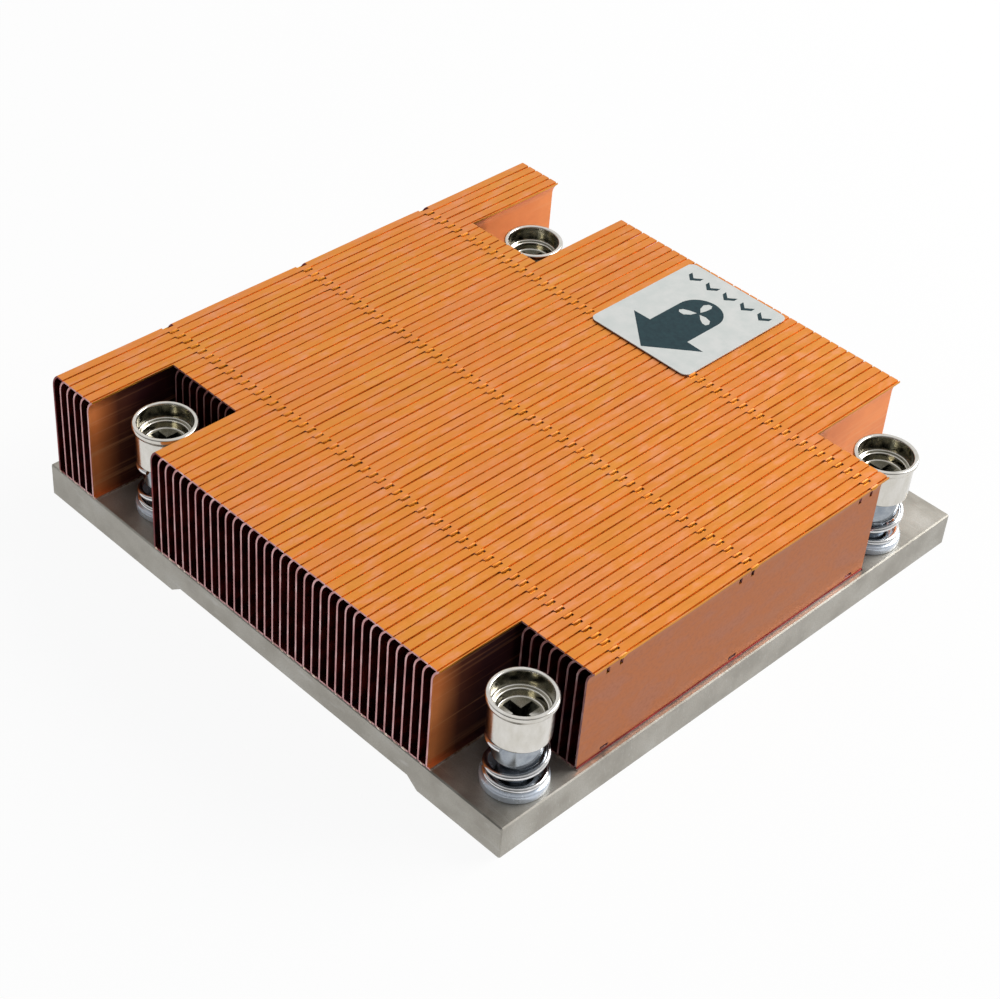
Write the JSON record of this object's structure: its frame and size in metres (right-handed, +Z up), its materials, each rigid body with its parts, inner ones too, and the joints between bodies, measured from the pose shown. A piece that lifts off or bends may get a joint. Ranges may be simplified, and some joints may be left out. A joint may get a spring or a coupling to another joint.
{
  "type": "processor heatsink",
  "caption": "Low passive heatsink: a tight stack of folded copper fins on a square metal base plate, held by spring-loaded screws in its corner notches.",
  "frame": {"origin": "middle of the base plate's square outline, on its underside", "axes": "+Z up through the fins; +X along the row of fins, from the full-length rail towards the closing fin; +Y along the fins, from the screws' nearer edge to the label's end"},
  "size_m": [0.0981, 0.098, 0.0244],
  "materials": {
    "fins": "bare copper sheet, satin",
    "plate": "machined, satin",
    "label": "matte film",
    "washers": "satin",
    "screws": "nickel plated",
    "springs": "bright wire",
    "clips": "spring steel"
  },
  "bodies": {
    "heatsink": {"rail_fin_01": "fins", "rail_fin_02": "fins", "rail_fin_03": "fins", "rail_fin_04": "fins", "rail_fin_05": "fins", "rail_fin_06": "fins", "left_short_fins": "fins", "core_fin_01": "fins", "core_fin_02": "fins", "core_fin_03": "fins", "core_fin_04": "fins", "core_fin_05": "fins", "core_fin_06": "fins", "core_fin_07": "fins", "core_fin_08": "fins", "core_fin_09": "fins", "core_fin_10": "fins", "core_fin_11": "fins", "core_fin_12": "fins", "core_fin_13": "fins", "core_fin_14": "fins", "core_fin_15": "fins", "core_fin_16": "fins", "core_fin_17": "fins", "core_fin_18": "fins", "core_fin_19": "fins", "core_fin_20": "fins", "core_fin_21": "fins", "core_fin_22": "fins", "core_fin_23": "fins", "core_fin_24": "fins", "core_fin_25": "fins", "core_fin_26": "fins", "core_fin_27": "fins", "core_fin_28": "fins", "core_fin_29": "fins", "core_fin_30": "fins", "core_fin_31": "fins", "core_fin_32": "fins", "core_fin_33": "fins", "core_fin_34": "fins", "core_fin_35": "fins", "core_fin_36": "fins", "right_short_fins": "fins", "base_plate": "plate", "label": "label", "spring_seats": "washers", "spring_front_left": "springs", "spring_front_right": "springs", "spring_back_left": "springs", "spring_back_right": "springs"},
    "lift_front_left": {"clip_front_left": "clips"},
    "turn_front_left": {"screw_front_left": "screws"},
    "lift_front_right": {"clip_front_right": "clips"},
    "turn_front_right": {"screw_front_right": "screws"},
    "lift_back_left": {"clip_back_left": "clips"},
    "turn_back_left": {"screw_back_left": "screws"},
    "lift_back_right": {"clip_back_right": "clips"},
    "turn_back_right": {"screw_back_right": "screws"}
  },
  "joints": [
    {"name": "press_front_left", "type": "slide", "parent": "heatsink", "child": "lift_front_left", "axis": [0, 0, 1], "range_m": [-0.0035, 0], "stiffness_N_per_m": 8000, "springref_m": 0.001, "deforming": ["spring_front_left"]},
    {"name": "drive_front_left", "type": "hinge", "parent": "lift_front_left", "child": "turn_front_left", "pos_m": [-0.03, -0.04135, 0.018], "axis": [0, 0, 1], "continuous": true},
    {"name": "press_front_right", "type": "slide", "parent": "heatsink", "child": "lift_front_right", "axis": [0, 0, 1], "range_m": [-0.0035, 0], "stiffness_N_per_m": 8000, "springref_m": 0.001, "deforming": ["spring_front_right"]},
    {"name": "drive_front_right", "type": "hinge", "parent": "lift_front_right", "child": "turn_front_right", "pos_m": [0.0436, -0.04135, 0.018], "axis": [0, 0, 1], "continuous": true},
    {"name": "press_back_left", "type": "slide", "parent": "heatsink", "child": "lift_back_left", "axis": [0, 0, 1], "range_m": [-0.0035, 0], "stiffness_N_per_m": 8000, "springref_m": 0.001, "deforming": ["spring_back_left"]},
    {"name": "drive_back_left", "type": "hinge", "parent": "lift_back_left", "child": "turn_back_left", "pos_m": [-0.03, 0.03515, 0.018], "axis": [0, 0, 1], "continuous": true},
    {"name": "press_back_right", "type": "slide", "parent": "heatsink", "child": "lift_back_right", "axis": [0, 0, 1], "range_m": [-0.0035, 0], "stiffness_N_per_m": 8000, "springref_m": 0.001, "deforming": ["spring_back_right"]},
    {"name": "drive_back_right", "type": "hinge", "parent": "lift_back_right", "child": "turn_back_right", "pos_m": [0.0436, 0.03515, 0.018], "axis": [0, 0, 1], "continuous": true}
  ]
}
